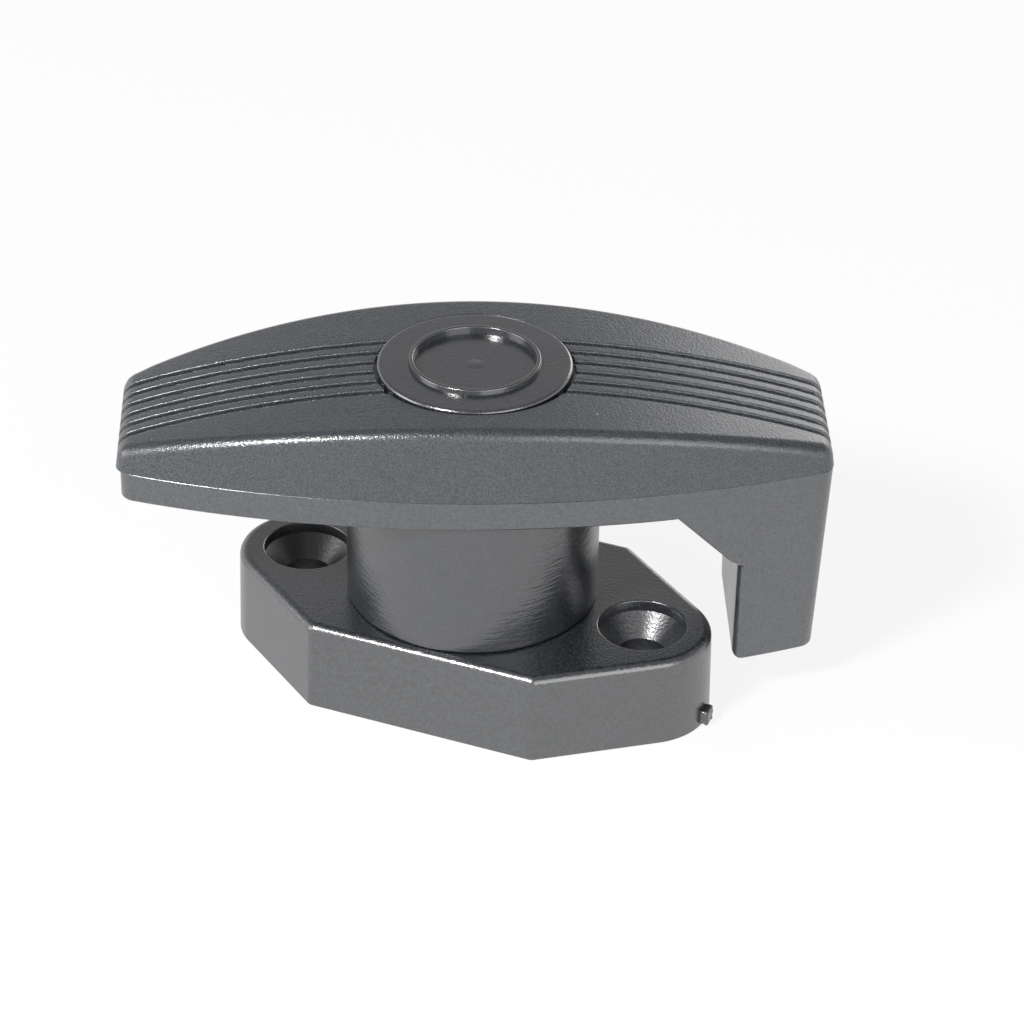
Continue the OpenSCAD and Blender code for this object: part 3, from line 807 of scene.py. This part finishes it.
class HOLDER_OT_hardware(bpy.types.Operator):
    """Draw the spring's wire smooth, and finish the bolt, nut, washers and screws"""

    bl_idname = "holder.hardware"
    bl_label = "Hardware"

    def execute(self, context):
        take(frame["nodes"]["return_spring"])
        bpy.ops.object.duplicate()
        spring = bpy.context.object
        spring.name = "spring_wire"
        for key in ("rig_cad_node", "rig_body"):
            if key in spring:
                del spring[key]
        spring.parent = None
        with editing(spring):
            bpy.ops.mesh.select_all(action="SELECT")
            bpy.ops.mesh.remove_doubles(threshold=TINY)
        smooth(spring, 50)
        hand_over(spring, "base", "spring_steel", metal("spring_wire", "wire", 0.35),
                  "return_spring")
        seat_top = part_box("spring_seat")[1].z
        lift = next(j for j in frame["joints"] if j["name"] == "handle_lift")
        travel = lift["range_m"][1]
        free = SPRING_TOP - seat_top
        (free - travel) / free
        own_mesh(spring)
        zinc = metal("zinc_plate", "zinc", 0.3)
        for name in ("pivot_bolt", "spring_seat", "retaining_washer", "lock_nut", "cover_screws"):
            self.finish(name, zinc)
        self.finish("nut_insert", nylon())
        return {"FINISHED"}

    def finish(self, name, material):
        """Give a node of the frame its finish."""
        mesh = frame["nodes"][name].data
        mesh.materials.clear()
        mesh.materials.append(material)


# Finishes


class Value:
    """A node's output that can stand in a sum; each sum adds its Math node."""

    def __init__(self, tree, socket):
        self.tree = tree
        self.socket = socket

    def __getitem__(self, name):
        """Another output of the same node."""
        return Value(self.tree, self.socket.node.outputs[name])

    def math(self, operation, *parts):
        return self.tree.node("ShaderNodeMath", {"operation": operation}, dict(enumerate(parts)))

    def __add__(self, other):
        return self.math("ADD", self, other)

    def __radd__(self, other):
        return self.math("ADD", other, self)

    def __sub__(self, other):
        return self.math("SUBTRACT", self, other)

    def __rsub__(self, other):
        return self.math("SUBTRACT", other, self)

    def __mul__(self, other):
        return self.math("MULTIPLY", self, other)

    def __pow__(self, power):
        return self.math("POWER", self, power)

    def step(self, low, high):
        """0 at low and 1 at high, with a soft step between."""
        return self.tree.node(
            "ShaderNodeMapRange",
            {"interpolation_type": "SMOOTHSTEP"},
            {"Value": self, "From Min": low, "From Max": high},
        )


class Shader:
    """The nodes of a new material or world."""

    def __init__(self, name, kind="materials"):
        self.owner = getattr(bpy.data, kind).new(name)
        self.owner.use_nodes = True
        self.nodes = self.owner.node_tree.nodes
        self.links = self.owner.node_tree.links
        self.nodes.clear()

    def node(self, kind, settings=None, sockets=None, out=0):
        """Add a node, give it its settings, then the values or links of its sockets."""
        made = self.nodes.new(kind)
        for key, value in (settings or {}).items():
            setattr(made, key, value)
        for key, value in (sockets or {}).items():
            if isinstance(value, Value):
                self.links.new(value.socket, made.inputs[key])
            else:
                made.inputs[key].default_value = value
        return Value(self, made.outputs[out]) if len(made.outputs) else None

    def place(self, angle=0.0, scale=(1, 1, 1)):
        """Object coordinates, turned about Z and scaled."""
        spot = self.node("ShaderNodeTexCoord", out="Object")
        return self.node(
            "ShaderNodeMapping", None,
            {"Vector": spot, "Rotation": (0, 0, angle), "Scale": scale},
        )

    def noise(self, spot, scale, detail=2.0, roughness=0.5):
        """A noise between 0 and 1."""
        return self.node(
            "ShaderNodeTexNoise", None,
            {"Vector": spot, "Scale": scale, "Detail": detail, "Roughness": roughness},
        )

    def cells(self, spot, scale, feature="F1"):
        """Distance to the nearest of scattered points."""
        return self.node(
            "ShaderNodeTexVoronoi", {"feature": feature},
            {"Vector": spot, "Scale": scale}, out="Distance",
        )

    def blend(self, factor, first, second):
        """A colour between two."""
        return self.node(
            "ShaderNodeMix", {"data_type": "RGBA"},
            {"Factor": factor, 6: first, 7: second}, out=2,
        )

    def bump(self, height, strength, distance):
        """A normal from a height."""
        return self.node(
            "ShaderNodeBump", None,
            {"Height": height, "Strength": strength, "Distance": distance},
        )

    def specks(self, spot, scale, size):
        """1 on a few scattered specks, 0 elsewhere."""
        return 1 - self.cells(spot, scale).step(0.6 * size * scale, size * scale)

    def in_view(self):
        """1 for the rays that see the background, 0 for the light on the object."""
        path = self.node("ShaderNodeLightPath", out="Is Camera Ray")
        return path + path["Is Glossy Ray"] + path["Is Transmission Ray"]

    def overhead(self):
        """0 for a ray to the horizon, 1 for one to the ceiling, and 0 for the camera's own."""
        path = self.node("ShaderNodeLightPath", out="Is Camera Ray")
        way = self.node("ShaderNodeTexCoord", out="Generated")
        height = self.node("ShaderNodeSeparateXYZ", None, {"Vector": way}, out="Z")
        return height.step(0.1, 0.6) * (1 - path)

    def surface(self, **sockets):
        """The surface itself; underscores in names stand for spaces."""
        named = {key.replace("_", " "): value for key, value in sockets.items()}
        made = self.node("ShaderNodeBsdfPrincipled", None, named)
        self.node("ShaderNodeOutputMaterial", None, {"Surface": made})
        return self.owner


def tint(name):
    """A colour of the finish, as the shader takes it."""
    return (*getattr(bpy.context.scene.holder_finish, name), 1.0)


def grained_plastic():
    """Black plastic with a moulded leather grain and a few specks of dust."""
    f = Shader("grained_plastic")
    spot = f.place()
    grain = f.noise(spot, 3500, 2)
    pebble = f.cells(spot, FINE, "SMOOTH_F1")
    broad = f.noise(spot, 90, 3)
    speckle = f.noise(spot, 5500, 1)
    plain = f.blend(speckle.step(0.36, 0.64), tint("black"), tint("worn"))
    return f.surface(
        Base_Color=f.blend(f.specks(spot, 110, 0.00022), plain, tint("dust")),
        Roughness=0.24 + broad * 0.10,
        IOR=1.6,
        Specular_IOR_Level=SHINE,
        Normal=f.bump(grain - pebble * 0.5, 1.0, 0.00005),
    )


def smooth_plastic(s):
    """Black plastic with faint flow streaks, turned lines on the post, and painted shade that keeps
    the post darker than the arms.
    """
    f = Shader("smooth_plastic")
    along = f.place(-s.handle_angle)
    streak = f.noise(f.place(-s.handle_angle, (1, 1, 0.12)), 1500, 2)
    axes = f.node("ShaderNodeSeparateXYZ", None, {"Vector": along})
    radius = (axes["X"] * axes["X"] + axes["Y"] * axes["Y"]) ** 0.5
    on_post = 1 - radius.step(s.post_r + 0.05 * MM, s.post_r + 0.4 * MM)
    lines = f.noise(f.place(0, (0.12, 0.12, 1)), FINE, 2)
    fine = f.noise(along, FINE, 1)
    broad = f.noise(along, 110, 3)
    height = lines * on_post * 1.5 + streak * (1 - on_post) * 0.3 + fine * 0.5
    # Painted shade under the handle: the post takes satin instead of worn on the heights of its
    # grain, so it renders darker than the arms.
    heights = f.blend(on_post, tint("worn"), tint("satin"))
    return f.surface(
        Base_Color=f.blend(fine.step(0.1, 0.9), tint("black"), heights),
        Roughness=0.22 + broad * 0.12,
        IOR=1.75,
        Specular_IOR_Level=SHINE,
        Normal=f.bump(height, 1.0, 0.00004),
    )


def base_plastic(s):
    """Black plastic with a fine spark-eroded texture, duller in the countersinks."""
    f = Shader("base_plastic")
    spot = f.place()
    axes = f.node("ShaderNodeSeparateXYZ", None, {"Vector": spot})
    across = axes["X"].math("ABSOLUTE", axes["X"]) - s.hole_pitch / 2
    sunk = 1 - ((across * across + axes["Y"] * axes["Y"]) ** 0.5).step(
        s.sink_d / 2 - 0.1 * MM, s.sink_d / 2 + 0.2 * MM)
    fine = f.noise(spot, FINE, 1)
    broad = f.noise(spot, 110, 3)
    plain = f.blend(fine.step(0.34, 0.66), tint("black"), tint("satin"))
    return f.surface(
        Base_Color=f.blend(f.specks(spot, 90, 0.0002), plain, tint("dust")),
        Roughness=0.20 + broad * 0.12 + sunk * 0.1,
        IOR=1.82,
        Specular_IOR_Level=SHINE,
        Normal=f.bump(fine, 1.0, 0.00004),
    )


def cap_plastic():
    """Glossy black plastic."""
    f = Shader("cap_plastic")
    spot = f.place()
    fine = f.noise(spot, FINE, 1)
    broad = f.noise(spot, 160, 3)
    return f.surface(
        Base_Color=f.blend(fine.step(0.2, 0.8), tint("black"), tint("satin")),
        Roughness=0.16 + broad * 0.10,
        IOR=1.85,
        Specular_IOR_Level=SHINE,
        Normal=f.bump(fine, 1.0, 0.00002),
    )


def metal(name, tone, roughness):
    """Plated steel with a faint mottle."""
    f = Shader(name)
    spot = f.place()
    mottle = f.noise(spot, 400, 4)
    return f.surface(
        Base_Color=f.blend(mottle * 0.3, tint(tone), (0.8, 0.8, 0.78, 1)),
        Metallic=1.0,
        Roughness=roughness + mottle * 0.15,
        Normal=f.bump(f.noise(spot, 1500, 3), 0.1, 0.0001),
    )


def nylon():
    """Dyed nylon."""
    f = Shader("nylon")
    cloud = f.noise(f.place(), 300, 3)
    return f.surface(
        Base_Color=f.blend(cloud * 0.4, tint("nylon"), (0.2, 0.3, 0.5, 1)),
        Roughness=0.4 + cloud * 0.1,
    )


# Stage


class HOLDER_OT_studio(bpy.types.Operator):
    """Lay the floor, set the lights and aim the camera"""

    bl_idname = "holder.studio"
    bl_label = "Studio"

    def execute(self, context):
        studio = context.scene.holder_studio
        context.scene.view_settings.view_transform = "Standard"
        self.lay_floor()
        self.light_sky(context, studio)
        self.hang_lamps()
        self.aim_camera(context, studio)
        return {"FINISHED"}

    def lay_floor(self):
        """A pale floor that keeps the shadow."""
        clear_hands()
        bpy.ops.mesh.primitive_plane_add(size=6, location=(0, 0, -0.05 * MM))
        floor = settle("floor")
        f = Shader("floor")
        matt = f.node("ShaderNodeBsdfDiffuse", None, {"Color": tint("floor")})
        white = f.node("ShaderNodeEmission", None, {"Color": (1, 1, 1, 1), "Strength": 1.0})
        mixed = f.node("ShaderNodeMixShader", None, {0: f.in_view() * 0.87, 1: matt, 2: white})
        f.node("ShaderNodeOutputMaterial", None, {"Surface": mixed})
        floor.data.materials.append(f.owner)

    def light_sky(self, context, studio):
        """Even light from all round, seen as plain white."""
        f = Shader("studio", "worlds")
        even = studio.sky + f.in_view() * (1 - studio.sky)
        strength = even * (1 - f.overhead() * studio.ceiling)
        sky = f.node("ShaderNodeBackground", None, {"Color": (1, 1, 1, 1), "Strength": strength})
        f.node("ShaderNodeOutputWorld", None, {"Surface": sky})
        context.scene.world = f.owner

    def hang_lamps(self):
        """A small key lamp on the left, and soft boxes in front and at the back."""
        for name, place, size, power in (
            ("key", (-0.20, -0.63, 0.61), 0.15, 7.5),
            ("left", (-0.85, -0.50, 0.32), 0.60, 3.4),
            ("right", (0.80, -0.60, 0.42), 0.80, 4.0),
            ("back", (0.12, 0.95, 0.29), 0.50, 1.6),
        ):
            clear_hands()
            aim = Vector((0, 0, 0.03)) - Vector(place)
            bpy.ops.object.light_add(
                type="AREA", location=place, rotation=aim.to_track_quat("-Z", "Y").to_euler()
            )
            lamp = bpy.context.object
            lamp.name = name
            lamp.data.shape = "SQUARE"
            lamp.data.size = size
            lamp.data.energy = power

    def aim_camera(self, context, studio):
        """The camera at its angle, with its roll and shift."""
        clear_hands()
        bpy.ops.object.camera_add()
        camera = bpy.context.object
        camera.name = "camera"
        camera.data.sensor_width = 36
        camera.data.lens = studio.focal
        camera.data.shift_x = studio.shift_x
        camera.data.shift_y = studio.shift_y
        back = Vector((
            math.sin(studio.azimuth) * math.cos(studio.elevation),
            -math.cos(studio.azimuth) * math.cos(studio.elevation),
            math.sin(studio.elevation),
        ))
        camera.location = Vector((0, 0, studio.aim_z)) + back * studio.distance
        level = (-back).to_track_quat("-Z", "Y").to_matrix()
        camera.rotation_euler = (level @ Matrix.Rotation(studio.roll, 3, "Z")).to_euler()
        context.scene.camera = camera


class HOLDER_PT_panel(bpy.types.Panel):
    """The door holder's sizes and pieces"""

    bl_label = "Door holder"
    bl_space_type = "VIEW_3D"
    bl_region_type = "UI"
    bl_category = "Door holder"

    def draw(self, context):
        for piece in PIECES:
            self.layout.operator(piece.bl_idname)
        for group in (context.scene.holder_finish, context.scene.holder_studio,
                      context.scene.holder_sizes):
            box = self.layout.box()
            for name in group.bl_rna.properties.keys():
                if name not in ("rna_type", "name"):
                    box.prop(group, name)


PIECES = (
    HOLDER_OT_base_moulding,
    HOLDER_OT_lower_handle,
    HOLDER_OT_grip_cover,
    HOLDER_OT_snap_cap,
    HOLDER_OT_hardware,
    HOLDER_OT_studio,
)
GROUPS = {
    "holder_sizes": HolderSizes,
    "holder_finish": HolderFinish,
    "holder_studio": HolderStudio,
}


def register():
    for cls in (*GROUPS.values(), *PIECES, HOLDER_PT_panel):
        bpy.utils.register_class(cls)
    for name, cls in GROUPS.items():
        setattr(bpy.types.Scene, name, PointerProperty(type=cls))


def unregister():
    for name in GROUPS:
        delattr(bpy.types.Scene, name)
    for cls in (HOLDER_PT_panel, *reversed(PIECES), *GROUPS.values()):
        bpy.utils.unregister_class(cls)


def main():
    register()
    bpy.ops.holder.base_moulding()
    bpy.ops.holder.lower_handle()
    bpy.ops.holder.grip_cover()
    bpy.ops.holder.snap_cap()
    bpy.ops.holder.hardware()
    bpy.ops.holder.studio()
    clear_hands()


if __name__ == "__main__":
    main()
